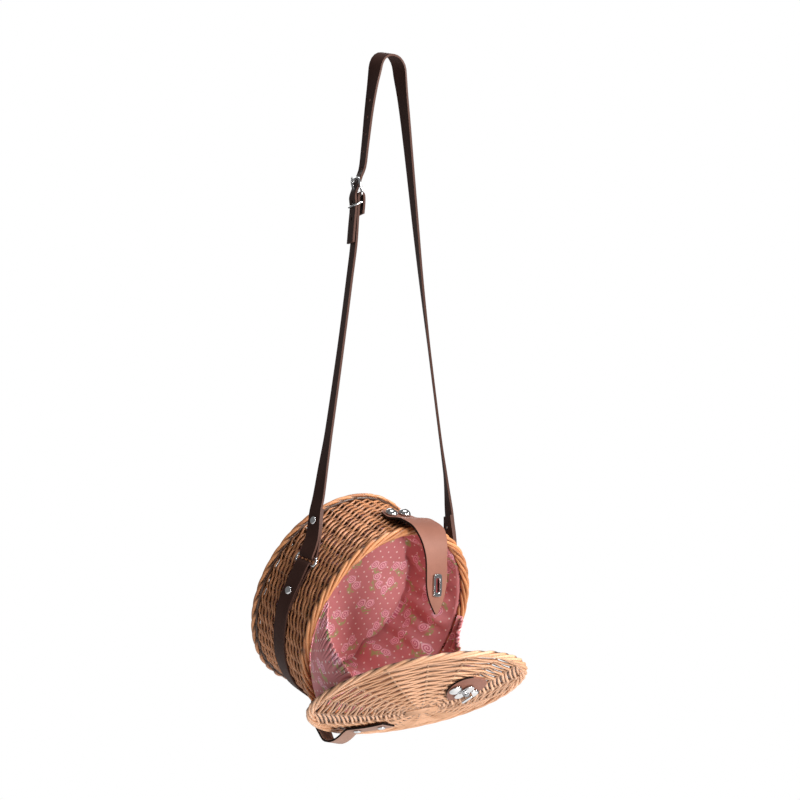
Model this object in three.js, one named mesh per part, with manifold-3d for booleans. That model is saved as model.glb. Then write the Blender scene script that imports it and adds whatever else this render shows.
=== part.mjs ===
// A round wicker shoulder basket that hangs from its leather strap with the lid part way open.
// Millimetres, +Z up. The origin is the top of the shoulder strap, where the strap hangs.
// The bag's mouth faces -Y and the hinge line of its lid runs along X.
import * as THREE from 'three';
import Module from 'manifold-3d';
import { mergeVertices } from 'three/addons/utils/BufferGeometryUtils.js';

const wasm = await Module();
wasm.setup();

// Driving dimensions of the drum
const drumCentre = new THREE.Vector3(0, 24, -557);
const drumTilt = 24.2;
const drumDepth = 81;
const frontRadius = 103;
const backRadius = 100.5;
const rimTube = 5;
const wallThick = 5;
const backDome = 5;

// Driving dimensions of the lid, which hangs from its hinge edge below the drum's front border
const hingeReach = new THREE.Vector3(-18.8, 10, -12.1);
const lidTilt = 23.3;
const lidRoll = 4.4;
const lidTurn = 10;
const lidRadius = 107;
const lidRimTube = 4.4;
const lidThick = 4.5;
const lidDome = 18;

// Driving dimensions of the leather, the cloth and the metal
const leather = 2.2;
const strapWidth = 18;
const bandWidth = 17;
const hingeWidth = 20;
const hingeLoop = 15;
const flapWidth = 41;
const cloth = 1.5;
const wire = 1.5;
const pinWire = 1.2;
const keeperWire = 1.2;
const gap = 0.3;
const bigHead = 6.6;
const bigHeadHeight = 3.2;
const flapHead = 6.4;
const flapHeadHeight = 5.4;
const smallHead = 4;
const smallHeadHeight = 2;
const shankRadius = 1.5;

// Driving dimensions of the strap's course
const ringPlaces = [
  { side: -1, angle: 62, shift: 0, lift: 0 },
  { side: 1, angle: 64, shift: -5, lift: 2 },
];
const ringHeight = 9;
const crownRadius = 17.5;
const crownDrop = 20;
const crownLean = 13;
const legSway = 10;
const buckleDrop = 150.5;
const buckleHeight = 18;
const buckleLean = 20;
const tailLength = 48;
const holePitch = 17.6;
const holeAbove = 30;
const holeBelow = 6;
const holeRadius = 1.9;
const foldLength = 46;
const rivetReach = 35;
const bandReach = 32;

// Driving dimensions of the flap and the turn lock
const flapRootBack = 5;
const flapRivetStation = 13;
const flapRivetSpread = 9.3;
const flapHang = 90.5;
const flapOverRim = 3.4;
const flapArch = 6.6;
const slotDrop = 72.5;
const slotLength = 14.5;
const slotWidth = 5.4;
const slotFrame = 3;
const slotEnds = 4;
const slotPlateThick = 1.4;
const patchWidth = 46;
const patchLength = 40;
const patchShift = 2;
const lockRadius = 53;
const lockSpread = 14;
const lockPlateLength = 23;
const lockPlateWidth = 13;
const lockPlateThick = 1.4;
const lockPost = 2.6;
const knobLength = 13.4;
const knobWidth = 4;
const knobHeight = 5.2;

const rad = THREE.MathUtils.degToRad;
const V = (x, y, z) => new THREE.Vector3(x, y, z);
const lerp = THREE.MathUtils.lerp;
const smooth = THREE.MathUtils.smoothstep;

// Finishes
const ringFacets = 46;
const finish = (color, roughness, metalness = 0) => (
  new THREE.MeshStandardMaterial({ color, roughness, metalness })
);
const wicker = finish(0xc08048, 0.62);
const strapLeather = finish(0x453029, 0.5);
const flapLeather = finish(0x8a5a4b, 0.5);
const print = finish(0xc07078, 0.85);
const chrome = finish(0xcfcfcf, 0.22, 1);

// A closed body from a vertex list and faces, with its faces turned outwards.
function body(points, faces) {
  const position = [];
  for (const face of faces) {
    for (let k = 1; k < face.length - 1; k += 1) {
      for (const i of [face[0], face[k], face[k + 1]]) position.push(points[i].x, points[i].y, points[i].z);
    }
  }
  const geometry = new THREE.BufferGeometry();
  geometry.setAttribute('position', new THREE.Float32BufferAttribute(position, 3));
  return outward(geometry);
}

function outward(geometry) {
  const p = geometry.attributes.position;
  const [a, b, c] = [V(), V(), V()];
  let volume = 0;
  for (let i = 0; i < p.count; i += 3) {
    a.fromBufferAttribute(p, i);
    b.fromBufferAttribute(p, i + 1);
    c.fromBufferAttribute(p, i + 2);
    volume += a.dot(b.clone().cross(c));
  }
  if (volume < 0) {
    for (let i = 0; i < p.count; i += 3) {
      b.fromBufferAttribute(p, i + 1);
      c.fromBufferAttribute(p, i + 2);
      p.setXYZ(i + 1, c.x, c.y, c.z);
      p.setXYZ(i + 2, b.x, b.y, b.z);
    }
  }
  return geometry;
}

// A solid through a row of sections, each a polygon with the same number of points.
function loft(sections, closed = false) {
  const n = sections[0].length;
  const points = sections.flat();
  const faces = [];
  const spans = closed ? sections.length : sections.length - 1;
  for (let i = 0; i < spans; i += 1) {
    const next = (i + 1) % sections.length;
    for (let k = 0; k < n; k += 1) {
      const m = (k + 1) % n;
      faces.push([i * n + k, next * n + k, next * n + m, i * n + m]);
    }
  }
  if (!closed) {
    const last = (sections.length - 1) * n;
    faces.push(Array.from({ length: n }, (_, k) => k));
    faces.push(Array.from({ length: n }, (_, k) => last + n - 1 - k));
  }
  return body(points, faces);
}

// A cloth or leather skin of even thickness over a grid of points, closed round in u where asked.
function skin(surface, uCount, vCount, thick, round = false) {
  const columns = round ? uCount : uCount + 1;
  const grid = (side) => {
    const out = [];
    for (let j = 0; j <= vCount; j += 1) {
      for (let i = 0; i < columns; i += 1) {
        const [u, v] = [i / uCount, j / vCount];
        const e = 1e-3;
        const du = surface(u + e, v).sub(surface(u - e, v));
        const dv = surface(u, Math.min(v + e, 1)).sub(surface(u, Math.max(v - e, 0)));
        const normal = du.cross(dv).normalize();
        out.push(surface(u, v).addScaledVector(normal, side * thick / 2));
      }
    }
    return out;
  };
  const points = [...grid(1), ...grid(-1)];
  const layer = columns * (vCount + 1);
  const at = (i, j, side) => side * layer + j * columns + (i % columns);
  const faces = [];
  for (let j = 0; j < vCount; j += 1) {
    for (let i = 0; i < uCount; i += 1) {
      faces.push([at(i, j, 0), at(i + 1, j, 0), at(i + 1, j + 1, 0), at(i, j + 1, 0)]);
      faces.push([at(i, j + 1, 1), at(i + 1, j + 1, 1), at(i + 1, j, 1), at(i, j, 1)]);
    }
  }
  for (let i = 0; i < uCount; i += 1) {
    faces.push([at(i, 0, 1), at(i + 1, 0, 1), at(i + 1, 0, 0), at(i, 0, 0)]);
    faces.push([at(i, vCount, 0), at(i + 1, vCount, 0), at(i + 1, vCount, 1), at(i, vCount, 1)]);
  }
  if (!round) {
    for (let j = 0; j < vCount; j += 1) {
      faces.push([at(0, j, 0), at(0, j + 1, 0), at(0, j + 1, 1), at(0, j, 1)]);
      faces.push([at(uCount, j, 1), at(uCount, j + 1, 1), at(uCount, j + 1, 0), at(uCount, j, 0)]);
    }
  }
  return body(points, faces);
}

// A turned solid round Y through the profile points (radius, height), which close on themselves.
function turned(profile, segments) {
  const loop = [...profile, profile[0]].map(([r, y]) => new THREE.Vector2(r, y));
  return cleaned(new THREE.LatheGeometry(loop, segments));
}

// The position alone, with merged vertices and no empty triangles, faces outwards.
function cleaned(geometry) {
  const bare = new THREE.BufferGeometry();
  bare.setAttribute('position', geometry.attributes.position.clone());
  if (geometry.index) bare.setIndex(geometry.index.clone());
  const merged = mergeVertices(bare, 1e-4);
  const kept = [];
  const index = merged.index.array;
  for (let i = 0; i < index.length; i += 3) {
    const [a, b, c] = [index[i], index[i + 1], index[i + 2]];
    if (a !== b && b !== c && c !== a) kept.push(a, b, c);
  }
  merged.setIndex(kept);
  return outward(merged.toNonIndexed());
}

// Joins and cuts
function solid(geometry) {
  const merged = mergeVertices(cleaned(geometry), 1e-4);
  return new wasm.Manifold(new wasm.Mesh({
    numProp: 3,
    vertProperties: new Float32Array(merged.attributes.position.array),
    triVerts: new Uint32Array(merged.index.array),
  }));
}

function geometryOf(manifold) {
  const mesh = manifold.getMesh();
  const geometry = new THREE.BufferGeometry();
  geometry.setAttribute('position', new THREE.BufferAttribute(new Float32Array(mesh.vertProperties), 3));
  geometry.setIndex(new THREE.BufferAttribute(new Uint32Array(mesh.triVerts), 1));
  return geometry.toNonIndexed();
}

const cut = (geometry, cutters) => geometryOf(cutters.reduce((s, c) => s.subtract(solid(c)), solid(geometry)));
const join = (geometries) => geometryOf(geometries.map(solid).reduce((s, g) => s.add(g)));

// A frame at a place: x across, y along, z out of the surface.
function seat(place, across, out) {
  const z = out.clone().normalize();
  const x = across.clone().addScaledVector(z, -across.dot(z)).normalize();
  const y = z.clone().cross(x);
  return new THREE.Matrix4().makeBasis(x, y, z).setPosition(place);
}

// A round bar between two heights of a seat.
function peg(matrix, radius, low, high, sides = 10) {
  const bar = new THREE.CylinderGeometry(radius, radius, high - low, sides);
  bar.rotateX(Math.PI / 2);
  bar.translate(0, 0, (low + high) / 2);
  return cleaned(bar).applyMatrix4(matrix);
}

// A domed rivet on a seat: its head stands on the leather and its shank goes down through it.
function rivet(matrix, head, height, depth) {
  const profile = [[0, -depth], [shankRadius, -depth], [shankRadius, 0], [head, 0]];
  for (const share of [0.35, 0.7, 0.92]) profile.push([head * Math.sqrt(1 - share ** 2.4), height * share]);
  profile.push([0, height]);
  const g = turned(profile, 10);
  g.rotateX(Math.PI / 2);
  return g.applyMatrix4(matrix);
}

// A wire of round section along a closed or open row of points.
function wireAlong(points, radius, closed, sides = 6) {
  const n = points.length;
  const sections = points.map((p, i) => {
    const before = closed ? points[(i + n - 1) % n] : points[Math.max(i - 1, 0)];
    const after = closed ? points[(i + 1) % n] : points[Math.min(i + 1, n - 1)];
    const t = after.clone().sub(before).normalize();
    return { p, t };
  });
  let side = V(0.31, 0.53, 0.79).cross(sections[0].t).normalize();
  if (closed) side = planeNormal(points);
  return loft(sections.map(({ p, t }) => {
    side = side.clone().addScaledVector(t, -side.dot(t)).normalize();
    const other = t.clone().cross(side);
    return Array.from({ length: sides }, (_, k) => {
      const a = (k + 0.5) / sides * Math.PI * 2;
      return p.clone().addScaledVector(side, radius * Math.cos(a)).addScaledVector(other, radius * Math.sin(a));
    });
  }), closed);
}

function planeNormal(points) {
  const normal = V(0, 0, 0);
  points.forEach((p, i) => normal.add(p.clone().cross(points[(i + 1) % points.length])));
  return normal.normalize();
}

// The corners of a rounded rectangle, width along x and height along y.
function roundedLoop(width, height, corner, steps = 2) {
  const out = [];
  for (const [sx, sy, start] of [[1, 1, 0], [-1, 1, 90], [-1, -1, 180], [1, -1, 270]]) {
    for (let k = 0; k <= steps; k += 1) {
      const a = rad(start + 90 * k / steps);
      const [x, y] = [sx * (width / 2 - corner), sy * (height / 2 - corner)];
      out.push(V(x + corner * Math.cos(a), y + corner * Math.sin(a), 0));
    }
  }
  return out;
}

// A flat plate from an outline on a seat, between two heights.
function plate(matrix, outline, low, high) {
  const at = (h) => outline.map((p) => V(p.x, p.y, h).applyMatrix4(matrix));
  return loft([at(low), at(high)]);
}

// A leather strip along stations {p, w, width}, w across the strip; side +1 of its normal is its face.
function strip(stations, thick) {
  return loft(stations.map((s) => {
    const half = s.w.clone().multiplyScalar(s.width / 2);
    const n = s.n.clone().multiplyScalar(thick / 2);
    return [
      s.p.clone().add(half).add(n), s.p.clone().sub(half).add(n),
      s.p.clone().sub(half).sub(n), s.p.clone().add(half).sub(n),
    ];
  }));
}

// Stations on a smooth curve through places {p, w}: one at each place and more where the span is long.
function stationsAlong(places, width, step) {
  const curve = new THREE.CatmullRomCurve3(places.map((s) => s.p), false, 'centripetal');
  const spans = places.length - 1;
  const marks = [];
  for (let i = 0; i < spans; i += 1) {
    const parts = Math.max(1, Math.round(places[i].p.distanceTo(places[i + 1].p) / step));
    for (let k = 0; k < parts; k += 1) marks.push(i + k / parts);
  }
  marks.push(spans);
  let at = 0;
  let before = null;
  return marks.map((mark) => {
    const i = Math.min(Math.floor(mark), spans - 1);
    const p = curve.getPoint(mark / spans);
    const t = curve.getTangent(mark / spans).normalize();
    const w = places[i].w.clone().lerp(places[i + 1].w, mark - i);
    w.addScaledVector(t, -w.dot(t)).normalize();
    if (before) at += p.distanceTo(before);
    before = p;
    return { p, w, n: t.clone().cross(w).normalize(), t, width, at };
  });
}

const group = new THREE.Group();
function add(name, geometry, material, parent = group) {
  const mesh = new THREE.Mesh(geometry, material);
  mesh.name = name;
  parent.add(mesh);
  return mesh;
}

// The drum's own frame: y runs from the mouth at the front to the back, z is up across the mouth
const drum = new THREE.Group();
drum.position.copy(drumCentre);
drum.rotation.x = rad(drumTilt);
drum.updateMatrix();
group.add(drum);
const onDrum = (x, y, z) => V(x, y, z).applyMatrix4(drum.matrix);
const drumWay = (x, y, z) => V(x, y, z).transformDirection(drum.matrix);
const frontY = -drumDepth / 2;
const backY = drumDepth / 2;
const wallFront = frontY + rimTube + gap;
const wallBack = backY - rimTube - gap;
const outerAt = (y) => lerp(frontRadius, backRadius, (y - frontY) / drumDepth);
const innerAt = (y) => outerAt(y) - wallThick;

// A point off the drum's outer wall: the angle runs from the top, positive toward +X.
function onWall(angle, y, lift) {
  const r = outerAt(y) + lift;
  return onDrum(r * Math.sin(rad(angle)), y, r * Math.cos(rad(angle)));
}
const wallNormal = (angle) => drumWay(Math.sin(rad(angle)), 0, Math.cos(rad(angle)));
const wallRound = (angle, side) => drumWay(side * Math.cos(rad(angle)), 0, -side * Math.sin(rad(angle)));

function tubeRing(radius, tube, y, flat = 1) {
  const profile = Array.from({ length: 7 }, (_, k) => {
    const a = (k + 0.5) / 7 * Math.PI * 2;
    return [radius + tube * Math.cos(a), y + tube * flat * Math.sin(a)];
  });
  return turned(profile, ringFacets);
}

add('drum_wall', turned([
  [outerAt(wallFront), wallFront], [outerAt(wallBack), wallBack],
  [innerAt(wallBack), wallBack], [innerAt(wallFront), wallFront],
], ringFacets), wicker, drum);
add('drum_front_border', tubeRing(frontRadius, rimTube, frontY), wicker, drum);
add('drum_back_border', tubeRing(backRadius, rimTube, backY), wicker, drum);

// The back is a shallow dome inside the wall's end
const backDisc = backRadius - rimTube - gap;
const domeProfile = (radius, rise, low, high) => {
  const shares = [0, 0.4, 0.75, 1];
  const height = (s) => rise * (1 - s * s);
  const side = (lift) => shares.map((s) => [radius * s, height(s) + lift]);
  return [...side(high), ...side(low).reverse()];
};
const backSeat = wallBack + gap;
const backProfile = domeProfile(backDisc, backDome, backSeat, backSeat + wallThick);
add('drum_back', turned(backProfile, ringFacets), wicker, drum);

// The lining is one loose pouch of cloth, sewn in at the mouth, with inward folds
const seamInset = 1.5;
const liningFront = wallFront + seamInset;
const liningDeep = backSeat - cloth - gap;
const liningTop = innerAt(liningFront) - cloth / 2 - gap;
const liningCourse = [
  { along: 0, reach: 1, deep: 0 },
  { along: 0.3, reach: 0.97, deep: 0.42 },
  { along: 0.5, reach: 0.92, deep: 0.8 },
  { along: 0.62, reach: 0.84, deep: 0.94 },
  { along: 0.8, reach: 0.5, deep: 0.97 },
  { along: 1, reach: 0.06, deep: 0.98 },
];
const liningFolds = [
  { angle: 62, width: 15, depth: 0.3, along: 0.5, spread: 0.3 },
  { angle: 100, width: 12, depth: 0.14, along: 0.45, spread: 0.25 },
  { angle: 135, width: 16, depth: 0.2, along: 0.5, spread: 0.3 },
  { angle: 180, width: 14, depth: 0.1, along: 0.4, spread: 0.25 },
  { angle: 228, width: 17, depth: 0.16, along: 0.45, spread: 0.28 },
  { angle: 275, width: 15, depth: 0.1, along: 0.4, spread: 0.25 },
  { angle: 322, width: 18, depth: 0.12, along: 0.5, spread: 0.3 },
  { angle: 10, width: 13, depth: 0.12, along: 0.45, spread: 0.25 },
];
function between(rows, key, at, column) {
  const i = Math.max(0, Math.min(rows.length - 2, rows.findIndex((r) => r[key] >= at) - 1));
  const t = (at - rows[i][key]) / (rows[i + 1][key] - rows[i][key]);
  return lerp(rows[i][column], rows[i + 1][column], Math.min(Math.max(t, 0), 1));
}
function liningPoint(u, v) {
  const angle = ((u % 1) + 1) % 1 * 360;
  let reach = between(liningCourse, 'along', v, 'reach');
  for (const f of liningFolds) {
    const off = ((angle - f.angle + 540) % 360) - 180;
    const near = Math.exp(-((off / f.width) ** 2) - ((v - f.along) / f.spread) ** 2);
    reach *= 1 - f.depth * near * smooth(v, 0.02, 0.2);
  }
  const r = liningTop * reach;
  const y = lerp(liningFront, liningDeep, between(liningCourse, 'along', v, 'deep'));
  return V(r * Math.sin(rad(angle)), y, r * Math.cos(rad(angle)));
}
const pouch = skin(liningPoint, 34, 9, cloth, true);
const seamRadius = liningTop * liningCourse.at(-1).reach;
const patchOver = new THREE.CylinderGeometry(seamRadius + cloth, seamRadius + cloth, cloth, 20);
patchOver.translate(0, lerp(liningFront, liningDeep, liningCourse.at(-1).deep), 0);
add('lining', join([pouch, patchOver]), print, drum);

// The lid's own frame: y toward its hinge, z toward the drum, the outer face looks down
const lid = new THREE.Group();
lid.rotation.set(-rad(lidTilt), rad(lidRoll), rad(lidTurn));
lid.position.copy(onDrum(0, frontY, -frontRadius)).add(hingeReach);
lid.position.sub(V(0, lidRadius, 0).applyEuler(lid.rotation));
lid.updateMatrix();
group.add(lid);
const onLid = (x, y, z) => V(x, y, z).applyMatrix4(lid.matrix);
const lidWay = (x, y, z) => V(x, y, z).transformDirection(lid.matrix);
const lidDisc = lidRadius - lidRimTube - gap;
const domeAt = (r) => -lidDome * (1 - (r / lidDisc) ** 2) - lidThick / 2;
const domeSlope = (r) => 2 * lidDome * r / lidDisc ** 2;
const lidBorder = tubeRing(lidRadius, lidRimTube, 0);
lidBorder.rotateX(Math.PI / 2);
add('lid_border', lidBorder, wicker, lid);
const lidShell = turned(domeProfile(lidDisc, lidDome, -lidThick / 2, lidThick / 2), ringFacets);
lidShell.rotateX(-Math.PI / 2);
add('lid_disc', lidShell, wicker, lid);

// The gussets are two cloth wings between the mouth and the lid, gathered along their free hem
const wingDrumRadius = frontRadius - rimTube - cloth - gap;
const wingInset = 5;
const wingLidRadius = lidDisc - wingInset;
const wingSeam = 1 / 9;
const wings = [
  { name: 'gusset_left', side: -1, drumFrom: 146, drumTo: 78, lidFrom: 38, lidTo: 90, slack: 0.2 },
  { name: 'gusset_right', side: 1, drumFrom: 146, drumTo: 84, lidFrom: 46, lidTo: 104, slack: 0.16 },
];
for (const wing of wings) {
  const surface = (u, v) => {
    const down = lerp(wing.drumFrom, wing.drumTo, v);
    const overDrum = (r, y) => onDrum(wing.side * r * Math.sin(rad(down)), y, r * Math.cos(rad(down)));
    const seam = overDrum(wingDrumRadius, frontY - rimTube / 2);
    const from = overDrum(frontRadius - rimTube / 2, frontY - rimTube - cloth);
    const turn = rad(lerp(wing.lidFrom, wing.lidTo, v));
    const [x, y] = [wing.side * wingLidRadius * Math.sin(turn), wingLidRadius * Math.cos(turn)];
    const to = onLid(x, y, lidRimTube + cloth);
    const t = (u - wingSeam) / (1 - wingSeam);
    if (t <= 0) return seam.lerp(from, 1 + t * (1 - wingSeam) / wingSeam);
    const p = from.clone().lerp(to, t);
    const span = from.distanceTo(to);
    p.x -= wing.side * wing.slack * span * Math.sin(Math.PI * t) * (0.6 + 0.4 * v);
    p.y += 0.12 * span * Math.sin(Math.PI * t);
    return p;
  };
  add(wing.name, skin(surface, 9, 8, cloth), print);
}

// A rivet's seat on a strip: z out of the leather's face, at its outer skin
function rivetSeat(stations, at, across = 0, face = 1, lift = gap) {
  const s = stations.reduce((best, t) => (Math.abs(t.at - at) < Math.abs(best.at - at) ? t : best));
  const p = s.p.clone().addScaledVector(s.t, at - s.at).addScaledVector(s.w, across);
  const out = s.n.clone().multiplyScalar(face);
  return seat(p.addScaledVector(out, leather / 2 + lift), s.w, out);
}
const holeFor = (matrix) => peg(matrix, shankRadius + gap, -leather * 3, leather, 8);
const shank = leather + gap;
const smallSeat = smallHead + 2;

// Rings: rectangular wire loops that stand at the sides of the drum, bars along the drum's axis
const ringReach = wire + gap + leather + 1;
const ringInner = strapWidth + 6;
const barLean = 0.6;
const strapRings = ringPlaces.map(({ side, angle, shift, lift }) => {
  const out = wallNormal(side * angle);
  const along = drumWay(0, 1, 0);
  const way = V(0, 1, 0).lerp(along, barLean).normalize();
  const centre = onWall(side * angle, shift, ringReach + wire + gap + lift);
  const head = V(side * crownRadius, 0, -crownDrop);
  const round = wallRound(side * angle, side);
  const rise = head.clone().sub(centre).normalize();
  const up = round.clone().negate().add(rise);
  up.addScaledVector(way, -up.dot(way)).normalize();
  const matrix = new THREE.Matrix4().makeBasis(way, up, way.clone().cross(up)).setPosition(centre);
  const loop = roundedLoop(ringInner + 2 * wire, ringHeight, 3).map((p) => p.applyMatrix4(matrix));
  add(side < 0 ? 'ring_left' : 'ring_right', wireAlong(loop, wire, true), chrome);
  const bar = (k) => centre.clone().addScaledVector(up, k * ringHeight / 2);
  const top = bar(1);
  return { side, angle, shift, out, along, way, head, round, top, bottom: bar(-1) };
});

// A strip that wraps a bar of wire: the half turn, and the places that lead into both of its layers
const wrap = wire + gap + leather / 2;
const halfFold = (leather + gap) / 2;
function turnRound(bar, way, outward, w) {
  const away = way.clone().addScaledVector(w, -way.dot(w)).normalize();
  const out = w.clone().cross(away).normalize();
  if (out.dot(outward) < 0) out.negate();
  const at = (along, off) => ({ p: bar.clone().addScaledVector(away, along).addScaledVector(out, off), w });
  const turn = [0, 45, 90, 135, 180].map((d) => at(-wrap * Math.sin(rad(d)), -wrap * Math.cos(rad(d))));
  return { places: [at(5, -wrap * 0.82), ...turn, at(5, wrap * 0.82)], away, out };
}

// The band runs under the drum from ring to ring, both ends folded round their ring's lower bar
const bandLift = leather / 2 + 3 * gap;
const [ringL, ringR] = strapRings;
function bandEnd(ring) {
  const degrees = (mm) => mm / (outerAt(0) + bandLift) * 180 / Math.PI;
  const angle = (mm) => ring.side * (ring.angle + degrees(ringHeight / 2 + mm));
  const across = (mm) => ring.way.clone().lerp(ring.along, smooth(mm, 4, foldLength));
  const place = (mm, lift) => ({ p: onWall(angle(mm), ring.shift, lift), w: across(mm) });
  const inner = [foldLength, foldLength * 0.66, foldLength * 0.36].map((mm) => place(mm, bandLift));
  const turn = turnRound(ring.bottom, ring.round, ring.out, ring.way).places;
  const outerLift = bandLift + leather + gap;
  const outer = [foldLength * 0.36, foldLength * 0.66, foldLength].map((mm) => place(mm, outerLift));
  const past = place(foldLength + 12, bandLift + leather * 0.3);
  const on = place(foldLength + 22, bandLift);
  return { places: [...inner, ...turn, ...outer, past, on], last: angle(foldLength + 22) };
}
const [bandL, bandR] = [bandEnd(ringL), bandEnd(ringR)];
const under = [];
const underCount = 14;
for (let k = 1; k < underCount; k += 1) {
  const share = k / underCount;
  const y = lerp(ringL.shift, ringR.shift, share);
  under.push({ p: onWall(lerp(360 + bandL.last, bandR.last, share), y, bandLift), w: ringL.along });
}
const bandPlaces = [...bandL.places, ...under, ...[...bandR.places].reverse()];
const bandStations = stationsAlong(bandPlaces, bandWidth, 14);

// Rivets through both layers of a folded end, found by their distance from the end of the strip
const bandLength = bandStations.at(-1).at;
const foldRivetAt = foldLength + Math.PI * wrap + bandReach;
const faceOf = (stations, at, out) => {
  const s = stations.reduce((best, t) => (Math.abs(t.at - at) < Math.abs(best.at - at) ? t : best));
  return s.n.dot(out) > 0 ? 1 : -1;
};
const farRivetAt = bandLength - foldRivetAt;
const bandSeats = [
  rivetSeat(bandStations, foldRivetAt, 0, faceOf(bandStations, foldRivetAt, ringL.out)),
  rivetSeat(bandStations, farRivetAt, 0, faceOf(bandStations, farRivetAt, ringR.out)),
];
add('side_band', cut(strip(bandStations, leather), bandSeats.map(holeFor)), strapLeather);
const foldShank = 2 * leather + 2 * gap;
['band_rivet_left', 'band_rivet_right'].forEach((name, i) => {
  add(name, rivet(bandSeats[i], smallHead, smallHeadHeight, foldShank - gap), chrome);
});

// Strap legs: lines from the rings to the crown, turned about their own length on the way
const twists = [
  { up: 0, left: 8, right: 24 },
  { up: 0.07, left: 15, right: 39 },
  { up: 0.15, left: 24, right: 44 },
  { up: 0.35, left: 28, right: 45 },
  { up: 0.5, left: 28, right: 39 },
  { up: 0.7, left: 26, right: 28 },
  { up: 0.85, left: 24, right: 22 },
  { up: 0.94, left: 17, right: 14 },
  { up: 1, left: 6, right: 8 },
];
const sways = [
  { up: 0, left: -0.4, right: 0.84 },
  { up: 0.07, left: -0.44, right: 0.9 },
  { up: 0.15, left: -0.49, right: 0.77 },
  { up: 0.33, left: -0.54, right: 0.46 },
  { up: 0.46, left: -0.48, right: 0.24 },
  { up: 0.6, left: -0.36, right: 0.14 },
  { up: 0.7, left: -0.14, right: 0.17 },
  { up: 0.82, left: -0.07, right: 0.16 },
  { up: 0.93, left: 0.14, right: 0.14 },
  { up: 1, left: 0, right: 0 },
];
const legEnd = foldLength + 6;
function legPlace(ring, share) {
  const key = ring.side < 0 ? 'left' : 'right';
  const span = ring.top.distanceTo(ring.head);
  const p = ring.top.clone().lerp(ring.head, (legEnd + share * (span - legEnd)) / span);
  p.addScaledVector(ring.out, halfFold * (1 - smooth(share, 0, 0.2)));
  p.x += ring.side * legSway * between(sways, 'up', share, key);
  const twist = between(twists, 'up', share, key);
  return { p, w: V(0, 1, 0).applyAxisAngle(V(0, 0, 1), -rad(twist)) };
}
function legOut(ring, share) {
  const s = legPlace(ring, share);
  const way = legPlace(ring, share + 0.01).p.sub(legPlace(ring, share - 0.01).p).normalize();
  const w = s.w.addScaledVector(way, -s.w.dot(way)).normalize();
  const out = way.clone().cross(w).normalize();
  if (out.x * ring.side < 0) out.negate();
  return { p: s.p, w, out, way };
}

// The strap's foot: both layers of the folded end run from the ring onto the leg's line
function footPlaces(ring) {
  const end = legPlace(ring, 0);
  const rise = end.p.clone().sub(ring.top).normalize();
  const start = turnRound(ring.top, rise, ring.out, ring.way);
  const place = (mm, layer) => {
    const way = start.away.clone().lerp(rise, smooth(mm, 0, foldLength)).normalize();
    const w = ring.way.clone().lerp(end.w, smooth(mm, 4, foldLength)).normalize();
    return { p: ring.top.clone().addScaledVector(way, mm).addScaledVector(start.out, layer * halfFold), w };
  };
  const marks = [foldLength * 0.33, rivetReach - smallSeat, rivetReach, foldLength];
  const layer = (side) => marks.map((mm) => place(mm, side));
  return [...layer(-1).reverse(), ...start.places, ...layer(1), end];
}

// The crown: a half round over the hanging point
const crownWay = V(0, Math.cos(rad(crownLean)), Math.sin(rad(crownLean)));
const crown = [-1, -0.78, -0.4, 0, 0.4, 0.78, 1].map((k) => {
  const a = k * Math.PI / 2;
  const rise = (crownDrop - leather / 2) * Math.cos(a) ** 0.8;
  return { p: V(crownRadius * Math.sin(a), 0, rise - crownDrop), w: V(0, 1, 0).lerp(crownWay, Math.cos(a)) };
});

// Buckle: a wire frame whose heel bar lies on the left leg and whose toe bar stands out above it
const legLength = legPlace(ringL, 0).p.distanceTo(ringL.head);
const heelShare = 1 - (buckleDrop - crownDrop) / legLength;
const buckle = legOut(ringL, heelShare);
const heelMatrix = new THREE.Matrix4().makeBasis(buckle.w, buckle.way, buckle.out).setPosition(buckle.p);
const buckleMatrix = heelMatrix.clone().multiply(new THREE.Matrix4().makeRotationX(rad(buckleLean)));
const onLeg = (across, along, out) => V(across, along, out).applyMatrix4(heelMatrix);
const onBuckle = (across, along, out) => V(across, along, out).applyMatrix4(buckleMatrix);
function besideLeg(down, off) {
  const s = legOut(ringL, heelShare - down / legLength);
  return s.p.addScaledVector(s.out, off);
}
const toe = buckleHeight;
const overHeel = wire + gap + leather + gap + leather / 2;
const keeperAt = -9;
const keeperShear = 0.6;
const stack = (layer) => layer * (leather + gap);
const tailPlaces = [
  besideLeg(-toe - 22, 0), besideLeg(-toe - 9, -0.6), onBuckle(0, toe, -wrap - 0.6),
  onBuckle(0, toe - 5, -wrap * 0.55), onBuckle(0, 5, overHeel * 0.8), onBuckle(0, 0.5, overHeel + 1), onLeg(0, -4, overHeel + 0.3),
  onLeg(0, keeperAt - 2, stack(1.5)), besideLeg(24, stack(1.65)), besideLeg(36, stack(1.55)),
  besideLeg(tailLength, stack(1.4)),
].map((p) => ({ p, w: buckle.w }));

// The long strap: from its fold at the right ring, up over the crown and down through the buckle
const footR = footPlaces(ringR);
const rightLeg = [0.07, 0.15, 0.25, 0.38, 0.52, 0.66, 0.8, 0.9, 0.96].map((s) => legPlace(ringR, s));
const leftTop = [0.97, 0.9, 0.84].map((s) => legPlace(ringL, s));
const longPlaces = [...footR, ...rightLeg, ...[...crown].reverse(), ...leftTop, ...tailPlaces];
const longStations = stationsAlong(longPlaces, strapWidth, 14);
const longLength = longStations.at(-1).at;

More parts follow.
